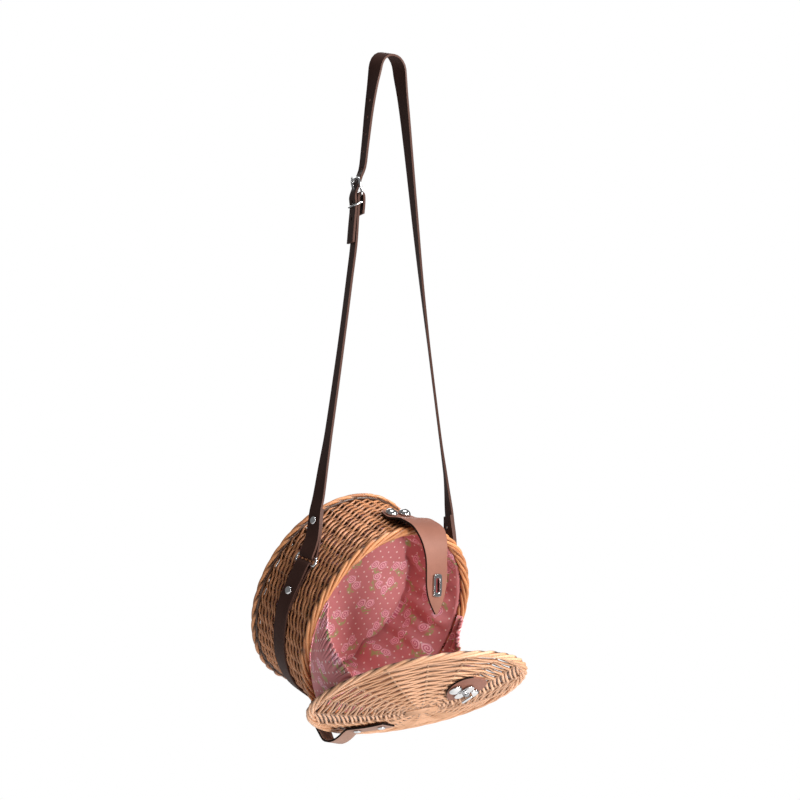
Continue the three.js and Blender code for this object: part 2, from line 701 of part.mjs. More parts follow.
// The short strap: folded round the left ring, up the leg, folded round the buckle's heel bar
const footL = footPlaces(ringL);
const heelTurn = turnRound(buckle.p, buckle.way.clone().negate(), buckle.out, buckle.w);
const heelEnd = 18;
const heelLayer = (mm, layer) => ({ p: onLeg(0, -mm, layer * halfFold), w: buckle.w });
const leftLeg = [0.07, 0.15, 0.25, 0.38, 0.52, 0.6].map((s) => legPlace(ringL, s));
const shortPlaces = [...footL, ...leftLeg, heelLayer(heelEnd, 1), heelLayer(heelEnd / 2, 1),
  ...[...heelTurn.places].reverse().slice(0, -1),
  heelLayer(5, -2.9), heelLayer(10, -3.2), heelLayer(heelEnd, -3.3)];
const shortStations = stationsAlong(shortPlaces, strapWidth, 14);

// Prong: bent from the heel bar through a hole in the strap to rest on the toe bar
const prongPath = [
  onBuckle(0, wire + pinWire + gap, -wire), onBuckle(0, 4.2, 1.2), onBuckle(0, 6.5, 3),
  onBuckle(0, toe - 4, wire + pinWire + gap + 0.8), onBuckle(0, toe + 2.5, wire + pinWire + gap),
];
const prongClear = wireAlong(prongPath, pinWire + 2 * gap, false, 6);
const prong = wireAlong(prongPath, pinWire, false, 6);
add('buckle_prong', prong, chrome);
const frameLoop = roundedLoop(strapWidth + 6 * gap + 2 * wire, buckleHeight, 3)
  .map((p) => onBuckle(p.x, p.y + toe / 2, 0));
add('buckle_frame', wireAlong(frameLoop, wire, true), chrome);
const keeperThick = stack(2) + 2 * keeperWire + gap;
const keeperLoop = roundedLoop(strapWidth + 2 * keeperWire + 4 * gap, keeperThick, 2)
  .map((p) => onLeg(p.x, keeperAt - keeperShear * p.y, p.y + stack(1)));
add('keeper_loop', wireAlong(keeperLoop, keeperWire, true), chrome);

// Adjusting holes above the buckle and down the tail
function strapHoles() {
  const away = (s) => s.p.distanceTo(buckle.p);
  const near = longStations.reduce((best, s) => (away(s) < away(best) ? s : best));
  const buckleAt = near.at + buckle.p.clone().sub(near.p).dot(near.t);
  const marks = [0, 1, 2, 3, 4].map((k) => buckleAt - holeAbove - k * holePitch);
  marks.push(...[0, 1].map((k) => buckleAt + holeBelow + k * holePitch));
  const inside = marks.filter((at) => at < longLength - 3 * holeRadius);
  return inside.map((at) => peg(rivetSeat(longStations, at), holeRadius, -leather * 2, leather, 8));
}
const footSeats = [ringR, ringL].map((ring) => {
  const stations = ring === ringR ? longStations : shortStations;
  const at = foldLength + Math.PI * wrap + rivetReach;
  return rivetSeat(stations, at, 0, faceOf(stations, at, ring.out), 1.6 * gap);
});
const longCuts = [...strapHoles(), holeFor(footSeats[0]), prongClear];
add('shoulder_strap', cut(strip(longStations, leather), longCuts), strapLeather);
add('buckle_strap', cut(strip(shortStations, leather), [holeFor(footSeats[1]), prongClear]), strapLeather);
add('strap_rivet_right', rivet(footSeats[0], smallHead, smallHeadHeight, foldShank), chrome);
add('strap_rivet_left', rivet(footSeats[1], smallHead, smallHeadHeight, foldShank), chrome);

// The closing flap: riveted on top of the drum, it bows over the front border and hangs plumb
const flapLift = leather / 2 + gap;
const rootY = flapRootBack;
const overRim = onDrum(0, frontY + 1, frontRadius + rimTube + flapOverRim);
const flapDrop = [
  { out: 0.13, down: 0.065 }, { out: 0.215, down: 0.207 }, { out: 0.252, down: 0.39 },
  { out: 0.258, down: 0.61 },
  { out: 0.256, down: 0.826 }, { out: 0.262, down: 1 },
];
const flapPlaces = [
  onWall(0, rootY, flapLift), onWall(0, rootY - flapRivetStation, flapLift),
  onWall(0, rootY - flapRivetStation - flapHead, flapLift + gap),
  onWall(0, frontY + 18, flapLift + flapArch / 2),
  onWall(0, frontY + 9, flapLift + flapArch),
  overRim, ...flapDrop.map((row) => overRim.clone().add(V(0, -row.out, -row.down).multiplyScalar(flapHang))),
].map((p) => ({ p, w: V(1, 0, 0) }));
const flapShape = [
  { share: 0, width: 0.42 }, { share: 0.03, width: 0.7 }, { share: 0.07, width: 0.86 },
  { share: 0.13, width: 0.95 },
  { share: 0.2, width: 1 }, { share: 0.42, width: 1 }, { share: 0.52, width: 0.84 },
  { share: 0.62, width: 0.71 },
  { share: 0.8, width: 0.68 }, { share: 0.87, width: 0.58 }, { share: 0.94, width: 0.36 },
  { share: 1, width: 0.06 },
];
const flapStations = stationsAlong(flapPlaces, flapWidth, 5);
const flapLength = flapStations.at(-1).at;
for (const s of flapStations) s.width = flapWidth * between(flapShape, 'share', s.at / flapLength, 'width');
const flapFace = faceOf(flapStations, 4, wallNormal(0));
const flapSeats = [-1, 1].map((k) => rivetSeat(flapStations, flapRivetStation, k * flapRivetSpread, flapFace));
const rootToTop = overRim.distanceTo(onWall(0, rootY, flapLift));
const slotAt = rootToTop + slotDrop;
const slotSeat = rivetSeat(flapStations, slotAt, 0, flapFace);
const slotLoop = (grow) => roundedLoop(slotWidth + grow, slotLength + grow, 1.2);
const slotHole = (grow) => plate(slotSeat, slotLoop(grow), -leather * 2, leather * 2);
add('closing_flap', cut(strip(flapStations, leather), [...flapSeats.map(holeFor), slotHole(2 * gap)]), flapLeather);
const plateOutline = roundedLoop(slotWidth + 2 * slotFrame, slotLength + 2 * slotEnds, 2.5);
add('slot_plate', cut(plate(slotSeat, plateOutline, 0, slotPlateThick), [slotHole(0)]), chrome);
['flap_rivet_left', 'flap_rivet_right'].forEach((name, i) => {
  add(name, rivet(flapSeats[i], flapHead, flapHeadHeight, shank), chrome);
});

// The lid's patch follows the dome; the lock stands on it, opposite the hinge strap
const lidSeat = (x, y, lift) => {
  const r = Math.hypot(x, y);
  const k = domeSlope(r) / Math.max(r, 1e-6);
  const out = lidWay(k * x, k * y, -1);
  return seat(onLid(x, y, domeAt(r)).addScaledVector(out, lift), lidWay(-1, 0, 0), out);
};
const patchShape = [
  { share: 0, width: 0.4 }, { share: 0.08, width: 0.72 }, { share: 0.25, width: 0.95 },
  { share: 0.45, width: 1 },
  { share: 0.65, width: 0.9 }, { share: 0.82, width: 0.66 }, { share: 0.93, width: 0.38 },
  { share: 1, width: 0.12 },
];
const patchLift = leather / 2 + gap;
const patchSkin = skin((u, v) => {
  const half = patchWidth / 2 * between(patchShape, 'share', v, 'width');
  const x = lerp(-half, half, u);
  const y = -lockRadius - patchShift + patchLength * (v - 0.5);
  return V().setFromMatrixPosition(lidSeat(x, y, patchLift));
}, 8, 9, leather);
const patchTop = leather + 2 * gap;
const lockSeat = lidSeat(0, -lockRadius, patchTop);
const patchSeats = [-1, 1].map((k) => lidSeat(k * lockSpread, -lockRadius, patchTop + gap));
const patchHole = (matrix) => peg(matrix, shankRadius + gap, -leather * 2.5, leather, 8);
add('lid_patch', cut(patchSkin, patchSeats.map(patchHole)), flapLeather);
['patch_rivet_left', 'patch_rivet_right'].forEach((name, i) => {
  add(name, rivet(patchSeats[i], bigHead, bigHeadHeight, shank + gap), chrome);
});

// Turn lock: an oval plate with a post, and on the post a knob that turns a quarter
const lockFoot = 1.2 * gap;
const lockOutline = roundedLoop(lockPlateWidth, lockPlateLength, lockPlateWidth * 0.45, 3);
const lockBase = plate(lockSeat, lockOutline, lockFoot, lockFoot + lockPlateThick);
const postTop = lockFoot + lockPlateThick + 2.4;
add('lock_plate', join([lockBase, peg(lockSeat, lockPost, lockFoot + lockPlateThick / 2, postTop, 12)]), chrome);
const knobLow = postTop + gap;
const knobOutline = roundedLoop(knobWidth, knobLength, knobWidth * 0.3, 2);
add('turn_knob', plate(lockSeat, knobOutline, knobLow, knobLow + knobHeight), chrome);

// The hinge strap: riveted on the lid's outer face, looped behind its edge, riveted under the drum
const hingeLift = leather / 2 + gap;
const lidPlace = (y, lift) => {
  const m = lidSeat(0, y, lift);
  return { p: V().setFromMatrixPosition(m), w: lidWay(1, 0, 0) };
};
const edgeDown = (y, z) => ({ p: onLid(0, y, -z), w: lidWay(1, 0, 0) });
const hingeIn = lidRadius - 66;
const hingeRivets = [lidRadius - 57, lidRadius - 27];
const wallRivets = [20, 29];
const wallEnd = 34.2;
const wallPlace = (y, lift = hingeLift) => ({ p: onWall(180, y, lift), w: V(1, 0, 0) });
const loopCourse = [
  { past: -0.9, off: 0.84 }, { past: 0, off: 1 }, { past: 0.52, off: 0.78 }, { past: 0.75, off: 0.22 },
].map((row) => ({ along: lidRadius + row.past * hingeLoop, off: row.off * hingeLoop }));
const loopTop = wallPlace(12, hingeLift + 8);
const loopEnd = edgeDown(loopCourse.at(-1).along, loopCourse.at(-1).off);
const loopRise = (share, bulge) => ({
  p: loopEnd.p.clone().lerp(loopTop.p, share).add(V(0, bulge, 0)),
  w: loopEnd.w.clone().lerp(loopTop.w, share).normalize(),
});
const hingePlaces = [
  ...[hingeIn, hingeRivets[0], lidRadius - 45, lidRadius - 33, hingeRivets[1], lidRadius - 21]
    .map((y) => lidPlace(y, hingeLift + gap)),
  ...loopCourse.map((row) => edgeDown(row.along, row.off)), loopRise(0.35, 4), loopRise(0.7, 3), loopTop,
  wallPlace(13.5, hingeLift + 2), wallPlace(16), wallPlace(wallRivets[0]), wallPlace(wallRivets[1]),
  wallPlace(wallEnd),
];
const hingeStations = stationsAlong(hingePlaces, hingeWidth, 6);
const hingeLength = hingeStations.at(-1).at;
const lidFace = faceOf(hingeStations, 4, lidWay(0, 0, -1));
const hingeSeats = [
  ...hingeRivets.map((y) => rivetSeat(hingeStations, y - hingeIn, 0, lidFace)),
  ...wallRivets.map((y) => {
    const at = hingeLength - (wallEnd - y);
    return rivetSeat(hingeStations, at, 0, faceOf(hingeStations, at, wallNormal(180)));
  }),
];
add('hinge_strap', cut(strip(hingeStations, leather), hingeSeats.map(holeFor)), flapLeather);
const hingeNames = ['lid_inner', 'lid_outer', 'drum_front', 'drum_back'];
hingeNames.map((end) => `hinge_rivet_${end}`).forEach((name, i) => {
  add(name, rivet(hingeSeats[i], smallHead, smallHeadHeight, shank - gap), chrome);
});

export default group;
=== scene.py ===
import math
import random

import bmesh
import bpy
from mathutils import Matrix, Vector, noise


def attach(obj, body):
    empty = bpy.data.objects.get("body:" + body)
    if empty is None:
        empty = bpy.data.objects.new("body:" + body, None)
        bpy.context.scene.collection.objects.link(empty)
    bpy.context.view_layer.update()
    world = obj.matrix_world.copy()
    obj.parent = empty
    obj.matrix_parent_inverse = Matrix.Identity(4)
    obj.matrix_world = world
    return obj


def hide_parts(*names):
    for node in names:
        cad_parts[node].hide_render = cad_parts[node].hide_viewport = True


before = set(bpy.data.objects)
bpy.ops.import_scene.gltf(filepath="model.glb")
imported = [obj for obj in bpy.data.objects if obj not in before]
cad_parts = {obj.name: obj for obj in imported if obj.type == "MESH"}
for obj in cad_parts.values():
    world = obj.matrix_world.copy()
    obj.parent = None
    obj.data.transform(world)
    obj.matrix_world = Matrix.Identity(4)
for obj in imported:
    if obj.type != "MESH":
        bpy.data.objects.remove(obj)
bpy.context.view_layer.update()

# The camera: it stands to the left of the mouth, level with the drum and looking a little
# upwards, turned by a degree on its own axis as the photograph is.
azimuth, tilt, roll = math.radians(-45.3), math.radians(-2.5), math.radians(1.1)
distance, shift_right, shift_down = 3.0, 0.01207, 0.3501
toward = Vector((math.sin(azimuth) * math.cos(tilt), -math.cos(azimuth) * math.cos(tilt), math.sin(tilt)))
level = Vector((math.cos(azimuth), math.sin(azimuth), 0))
plumb = toward.cross(level)
right = level * math.cos(roll) + plumb * math.sin(roll)
above = plumb * math.cos(roll) - level * math.sin(roll)
camera = bpy.data.objects.new("camera", bpy.data.cameras.new("camera"))
camera.data.sensor_width = 36
camera.data.lens = 134.2
camera.matrix_world = (
    Matrix.Translation(toward * distance + right * shift_right - above * shift_down)
    @ Matrix((right, above, toward)).transposed().to_4x4()
)
bpy.context.collection.objects.link(camera)
bpy.context.scene.camera = camera
bpy.context.scene.view_settings.view_transform = "Standard"


# Drum wall: pairs of willow rods twined round stakes that run from the mouth's border to the
# back's. At each stake the two rods of a pair change places, which leaves rows of slanted strokes.
def rods(count, radius, thick, steps, turn=2 * math.pi, apart=0.0, sides=6):
    """Rods of one length round Y, each spun from a small circle, each with its number."""
    bm = bmesh.new()
    number = bm.verts.layers.float.new("number")
    upright = Matrix.Translation((0, 0, radius)) @ Matrix.Rotation(math.pi / 2, 4, "Y")
    circle = bmesh.ops.create_circle(bm, segments=sides, radius=thick, matrix=upright)["verts"]
    outline = circle + list({e for v in circle for e in v.link_edges})
    whole = turn >= 2 * math.pi
    bmesh.ops.spin(
        bm, geom=outline, cent=(0, 0, 0), axis=(0, 1, 0), angle=turn, steps=steps, use_merge=whole)
    if not whole:
        bmesh.ops.holes_fill(bm, edges=[e for e in bm.edges if e.is_boundary], sides=0)
    first = bm.verts[:] + bm.edges[:] + bm.faces[:]
    for k in range(1, count):
        twin = [v for v in bmesh.ops.duplicate(bm, geom=first)["geom"] if isinstance(v, bmesh.types.BMVert)]
        bmesh.ops.rotate(bm, verts=twin, cent=(0, 0, 0), matrix=Matrix.Rotation(k * apart, 3, "Y"))
        for v in twin:
            v[number] = k
    return bm, number


def wander(seed, angle, size):
    """A slow waver along a rod, different on each."""
    waves = math.sin(2 * angle + seed * 2.4) + 0.6 * math.sin(5 * angle + seed * 4.1)
    return size * (waves + 0.4 * math.sin(11 * angle + seed)) / 2


def polar(v, radius):
    """A vertex's angle round Y, and how far it lies outside a radius."""
    return math.atan2(v.co.x, v.co.z), math.hypot(v.co.x, v.co.z) - radius


def round_y(angle, radius, y):
    """A point at an angle round Y."""
    return Vector((radius * math.sin(angle), y, radius * math.cos(angle)))


def clamped(value, least=0.0):
    return min(1.0, max(least, value))


class Socket:
    """A shader value: working with it adds Math nodes."""

    def __init__(self, tree, link):
        self.tree, self.link = tree, link

    def math(self, operation, *values):
        made = self.tree.nodes.new("ShaderNodeMath")
        made.operation = operation
        for slot, value in zip(made.inputs, values):
            feed(slot, value)
        return Socket(self.tree, made.outputs[0])

    def of(self, operation, *others):
        return self.math(operation, self, *others)

    def __add__(self, other):
        return self.of("ADD", other)

    def __sub__(self, other):
        return self.of("SUBTRACT", other)

    def __rsub__(self, other):
        return self.math("SUBTRACT", other, self)

    def __mul__(self, other):
        return self.of("MULTIPLY", other)

    def __lt__(self, other):
        return self.of("LESS_THAN", other)

    def __gt__(self, other):
        return self.of("GREATER_THAN", other)

    __radd__, __rmul__ = __add__, __mul__

    def clamp(self):
        return self.of("MAXIMUM", 0.0).of("MINIMUM", 1.0)


def feed(slot, value):
    """Links a shader value to an input, or sets the input to a number or a colour."""
    if isinstance(value, Socket):
        value.tree.links.new(value.link, slot)
    else:
        slot.default_value = (*value, 1) if slot.type == "RGBA" else value


class Finish:
    """A material round one Principled shader."""

    def __init__(self, name, roughness, **fixed):
        self.material = bpy.data.materials.new(name)
        self.material.use_nodes = True
        self.tree = self.material.node_tree
        self.shader = self.tree.nodes["Principled BSDF"]
        self.shader.inputs["Roughness"].default_value = roughness
        for key, value in fixed.items():
            self.shader.inputs[key.replace("_", " ").title().replace("Ior", "IOR")].default_value = value

    def node(self, kind, settings=None, out=0, **values):
        """A node of a kind. An input is given by its name, or by _ and its number."""
        made = self.tree.nodes.new("ShaderNode" + kind)
        for key, value in (settings or {}).items():
            setattr(made, key, value)
        for key, value in values.items():
            feed(made.inputs[int(key[1:]) if key[1:].isdigit() else key.replace("_", " ")], value)
        return Socket(self.tree, made.outputs[out])

    def place(self, out):
        """Where a point lies: out is 3 for object coordinates in metres, and 2 for the UV map."""
        return self.node("TexCoord", out=out)

    def layer(self, name):
        return self.node("Attribute", {"attribute_name": name}, out=2)

    def noise(self, where, scale, detail):
        return self.node("TexNoise", Vector=where, Scale=scale, Detail=detail)

    def mix(self, share, first, second):
        made = self.tree.nodes.new("ShaderNodeMix")
        made.data_type = "RGBA"
        for slot, value in ((0, share), (6, first), (7, second)):
            feed(made.inputs[slot], value)
        return Socket(self.tree, made.outputs[2])

    def into(self, key, value):
        feed(self.shader.inputs[key], value)

    def bump(self, height, strength, distance):
        self.into("Normal", self.node("Bump", Height=height, Strength=strength, Distance=distance))


def willow(name, pale, deep_tone):
    """Varnished willow: each rod has its own tone, streaked, and painted with shade where it dives inwards.
    """
    streak_tone, speck_tone, shade = (0.21, 0.085, 0.03), (0.12, 0.045, 0.016), (0.035, 0.011, 0.004)
    made = Finish(name, 0.48, coat_weight=0.12, coat_roughness=0.35)
    here = made.place(3)
    # The tone layer holds each rod's own tone; on the mats it also holds painted light and shade by sector.
    own, inward_shade = made.layer("tone"), made.layer("inward_shade")
    cloud = made.noise(here, 38.0, 2.0)
    streak = made.noise(here, 420.0, 3.0)
    speck = made.noise(here, 120.0, 1.0) > 0.72
    wood = made.mix((own * 0.75 + cloud * 0.45 - 0.15).clamp(), pale, deep_tone)
    wood = made.mix((streak * 2.2 - 1.05).clamp() * 0.35, wood, streak_tone)
    wood = made.mix(speck * 0.45, wood, speck_tone)
    # Painted shade: each rod is mixed towards a near-black brown where it lies inwards, under other rods.
    made.into("Base Color", made.mix((inward_shade * 1.5 - 0.1).clamp() * 0.94, wood, shade))
    made.into("Roughness", 0.36 + cloud * 0.2)
    made.bump(streak, 0.35, 0.0003)
    return made.material


def put(name, bm, material, replaced, place=None, body="bag"):
    """A finished piece, with its place in its mesh, that rides on a body and stands for nodes."""
    if place is not None:
        bm.transform(place)
    bmesh.ops.recalc_face_normals(bm, faces=bm.faces)
    mesh = bpy.data.meshes.new(name)
    bm.to_mesh(mesh)
    bm.free()
    mesh.shade_smooth()
    mesh.materials.append(material)
    made = bpy.data.objects.new(name, mesh)
    bpy.context.collection.objects.link(made)
    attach(made, body)
    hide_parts(*replaced)
    return made


drum_place = Matrix.Translation((0, 0.024, -0.557)) @ Matrix.Rotation(math.radians(24.2), 4, "X")
front_radius, back_radius, half_depth = 0.103, 0.1005, 0.0405
stakes, stake_thick = 38, 0.0014
wall_rows, wall_pitch, wall_inset = 15, 0.0053, 0.0023
rod_thick, weave_out, weave_along = 0.00125, 0.0015, 0.0020
blank_radius, steps_per_stake = 0.1, 8
wall_willow = willow("willow wall", (0.64, 0.282, 0.122), (0.26, 0.085, 0.028))


def wall_middle(y):
    """The radius that the rods weave round: the wall narrows towards the back."""
    share = (y + half_depth) / (2 * half_depth)
    return front_radius + (back_radius - front_radius) * share - wall_inset


random.seed(4)
wall, number = rods(2 * wall_rows, blank_radius, rod_thick, stakes * steps_per_stake)
tone, inward_shade = wall.verts.layers.float.new("tone"), wall.verts.layers.float.new("inward_shade")
tones = [random.random() for _ in range(2 * wall_rows)]
for v in wall.verts:
    k = int(v[number])
    row, second = divmod(k, 2)
    angle, reach = polar(v, blank_radius)
    phase = stakes / 2 * angle + math.pi * second + wander(row, angle, 0.25)
    stout = 1 + wander(k * 2.9, angle, 0.25)
    sway = weave_along * math.sin(phase) + wander(row, angle, 0.0005)
    y = (row - (wall_rows - 1) / 2) * wall_pitch + v.co.y * stout + sway
    r = wall_middle(y) + reach * stout + weave_out * math.cos(phase)
    v.co = round_y(angle, r, y)
    v[tone] = tones[k] * 0.5 + 0.5 * (0.5 + wander(k * 3.1, angle, 0.6))
    # Painted shade: a rod darkens the further it lies inside the middle of the weave.
    v[inward_shade] = clamped(0.36 - 0.8 * (r - wall_middle(y)) / (weave_out + rod_thick))
for k in range(stakes):
    stake_place = (
        Matrix.Rotation(2 * math.pi * k / stakes, 4, "Y")
        @ Matrix.Translation((0, 0, wall_middle(0))) @ Matrix.Rotation(math.pi / 2, 4, "X")
    )
    stake = bmesh.ops.create_cone(
        wall, segments=6, radius1=stake_thick, radius2=stake_thick, depth=2 * half_depth, matrix=stake_place)
    for v in stake["verts"]:
        # The stakes are painted mostly in shade, as they lie behind the rods.
        v[tone], v[inward_shade] = 0.6, 0.6
put("woven_wall", wall, wall_willow, ["drum_wall"], drum_place)

# Drum borders: the stakes' ends bent over the edge and laid along it, each crossing from the
# inside to the outside over four stakes, so the edge is a low twist with a lump at each end.
border_spread, border_thick, border_laps = 0.0033, 0.0018, 4.2
border_willow = willow("willow borders", (0.68, 0.298, 0.122), (0.33, 0.11, 0.036))


def plaited(count, radius, spread, thick, laps, front=1.0):
    """The rods of a border round Y, on a core painted dark with shade; front -1 turns the bent side the
    other way.
    """
    apart, swept, tip, slimmer, rod_steps = 2 * math.pi / count, 250, 0.14, 0.35, 26
    bm, number = rods(count, radius, thick, rod_steps, turn=laps * apart, apart=apart)
    tone, inward_shade = bm.verts.layers.float.new("tone"), bm.verts.layers.float.new("inward_shade")
    tones = [random.random() for _ in range(count)]
    for v in bm.verts:
        k = int(v[number])
        angle, reach = polar(v, radius)
        share = min(1.0, ((angle - k * apart + 0.01) % (2 * math.pi)) / (laps * apart))
        turn = math.radians(swept * (share - 0.5)) + wander(k * 1.3, angle * 2, 0.16)
        ends = min(1.0, share / tip, (1 - share) / tip)
        far = spread * (0.45 + 0.55 * ends ** 0.6) + wander(k * 2.3, angle * 3, 0.00025)
        slim = 1 - slimmer * (1 - ends)
        r = radius + far * math.sin(turn) + reach * slim
        v.co = round_y(angle, r, v.co.y * slim - front * far * math.cos(turn))
        v[tone] = tones[k]
        # Painted shade: darker towards a rod's thin ends, which tuck under the others, and where it bends
        # round to the far side of the edge.
        v[inward_shade] = 0.75 * (1 - ends) + max(0.0, -0.5 * math.cos(turn))
    core, _ = rods(1, radius, spread * 0.75, count * 3, sides=8)
    mesh = bpy.data.meshes.new("core")
    core.to_mesh(mesh)
    core.free()
    before = set(bm.verts)
    bm.from_mesh(mesh)
    bpy.data.meshes.remove(mesh)
    for v in bm.verts:
        if v not in before:
            # The core is painted almost wholly in shade.
            v[tone], v[inward_shade] = 0.7, 0.85
    return bm


front_plaiting = plaited(stakes, front_radius, border_spread, border_thick, border_laps)
put("front_plaiting", front_plaiting, border_willow, ["drum_front_border"],
    drum_place @ Matrix.Translation((0, -half_depth, 0)))
back_plaiting = plaited(stakes, back_radius, border_spread, border_thick, border_laps, front=-1.0)
put("back_plaiting", back_plaiting, border_willow, ["drum_back_border"],
    drum_place @ Matrix.Translation((0, half_depth, 0)))

# Lid and back panel: round mats woven on spokes from a cross of sticks in the middle, each held
# by a border at its rim. Each rod goes over one spoke and under the next, and bows a little
# inwards between them.
lid_willow = willow("willow lid", (0.80, 0.46, 0.285), (0.50, 0.25, 0.125))


def mat(spokes, first_spoke, inner, outer, pitch, rise, thick, swing):
    """A woven dish round Y, risen toward +Y in the middle. Odd rods close it from below, painted with shade
    on their outer side.
    """
    bowed, calm_radius = 1.5, 0.03
    stick_thick, stick_pitch, stick_lift, sticks = thick * 1.05, thick * 2.6, thick * 1.6, 4
    rows = int((outer - inner) / pitch)
    bm, number = rods(2 * rows, blank_radius, thick, spokes * 8)
    tone, inward_shade = bm.verts.layers.float.new("tone"), bm.verts.layers.float.new("inward_shade")
    tones = [random.random() for _ in range(2 * rows)]
    sector = 2 * math.pi / spokes
    # Painted light and shade: each sector between spokes is made lighter or darker, as if its straight rods
    # caught the light as flat facets.
    wedge_light = [0.15, 0.9, 0.4, 1.0] * (spokes // 4)

    def height(r):
        return rise * (1 - (r / outer) ** 2)

    for v in bm.verts:
        k = int(v[number])
        row, low = divmod(k, 2)
        angle, reach = polar(v, blank_radius)
        turn = angle - first_spoke
        off = turn % sector - sector / 2
        soft = min(1.0, (inner + k / 2 * pitch) / calm_radius)
        wave = -2 if low else math.cos(spokes / 2 * turn + math.pi * row)
        middle = inner + (row + 0.5 - 0.5 * low) * pitch + wander(row, angle, 0.0005)
        r = middle * (1 + bowed * (math.cos(sector / 2) / math.cos(off) - 1)) + reach
        lie = v.co.y
        v.co = round_y(angle, r, height(middle) + lie + swing * soft * wave)
        wedge_lit = wedge_light[int(turn % (2 * math.pi) / sector) % spokes]
        # A rod's tone is its own tone with its sector's painted light and shade laid over it.
        v[tone] = tones[k] * 0.2 + 0.15 * (0.5 + wander(k * 3.3, angle, 0.5)) + 0.65 * wedge_lit
        # Painted shade: the odd rods are dark on their outer side, and the others darken where they dip
        # under and on their lower side.
        if low:
            v[inward_shade] = clamped(0.6 + lie / thick, least=0.1)
        else:
            v[inward_shade] = clamped(0.2 - 0.26 * wave * soft - 0.3 * lie / thick)
    for k in range(spokes):
        spoke = bmesh.ops.create_cone(
            bm, segments=6, radius1=thick * 1.1, radius2=thick * 0.9, depth=outer - 0.004,
            matrix=Matrix.Translation((0, 0, outer / 2)))["verts"]
        long_edges = [e for e in {e for v in spoke for e in v.link_edges} if e.calc_length() > 0.02]
        bmesh.ops.subdivide_edges(bm, edges=long_edges, cuts=8)
        spoke = [v for v in bm.verts if v[tone] == 0 and v[number] == 0 and v[inward_shade] == 0]
        for v in spoke:
            v.co.y += height(max(v.co.z, 0))
            # The spokes are painted partly in shade, the sticks of the cross a little.
            v[tone], v[inward_shade] = 0.4, 0.45
        bmesh.ops.rotate(
            bm, verts=spoke, cent=(0, 0, 0), matrix=Matrix.Rotation(first_spoke + k * sector, 3, "Y"))
    for way in (0, 1):
        for k in range(sticks):
            beside, over = (k - (sticks - 1) / 2) * stick_pitch, rise + (0.5 - way) * stick_lift
            stick = bmesh.ops.create_cone(
                bm, segments=8, cap_ends=True, radius1=stick_thick, radius2=stick_thick,
                depth=2 * inner + 0.006, matrix=Matrix.Rotation(first_spoke + way * math.pi / 2, 4, "Y")
                @ Matrix.Translation((beside, over, 0)))
            for v in stick["verts"]:
                v[tone], v[inward_shade] = 0.2 + 0.2 * k, 0.15
    return bm


lid_turns = ((-23.3, "X"), (4.4, "Y"), (10, "Z"))
lid_turn_x, lid_turn_y, lid_turn_z = (
    Matrix.Rotation(math.radians(degrees), 4, axis) for degrees, axis in lid_turns)
lid_place = Matrix.Translation((-0.000274, -0.058063, -0.639279)) @ (lid_turn_x @ lid_turn_y @ lid_turn_z)
lid_radius, spoke_count, cross_radius, mat_pitch = 0.107, 16, 0.013, 0.00425
lid_mat = mat(
    spoke_count, math.radians(-43), cross_radius, outer=0.1072, pitch=mat_pitch,
    rise=0.018, thick=0.0014, swing=0.0008)
put("woven_lid", lid_mat, lid_willow, ["lid_disc"],
    lid_place @ Matrix.Rotation(-math.pi / 2, 4, "X"))
back_mat = mat(
    spoke_count, math.radians(10), cross_radius, outer=0.1002, pitch=mat_pitch,
    rise=0.005, thick=0.0015, swing=0.0010)
put("woven_back", back_mat, wall_willow, ["drum_back"],
    drum_place @ Matrix.Translation((0, 0.0395, 0)))
lid_plaiting = plaited(stakes, lid_radius, spread=0.0029, thick=0.0016, laps=4.4)
put("lid_plaiting", lid_plaiting, lid_willow, ["lid_border"],
    lid_place @ Matrix.Rotation(math.pi / 2, 4, "X"))

# Lining: one loose bag of dusty pink cotton, printed with line-drawn roses and pin dots, sewn
# in behind the front border and falling in soft folds that point inwards.


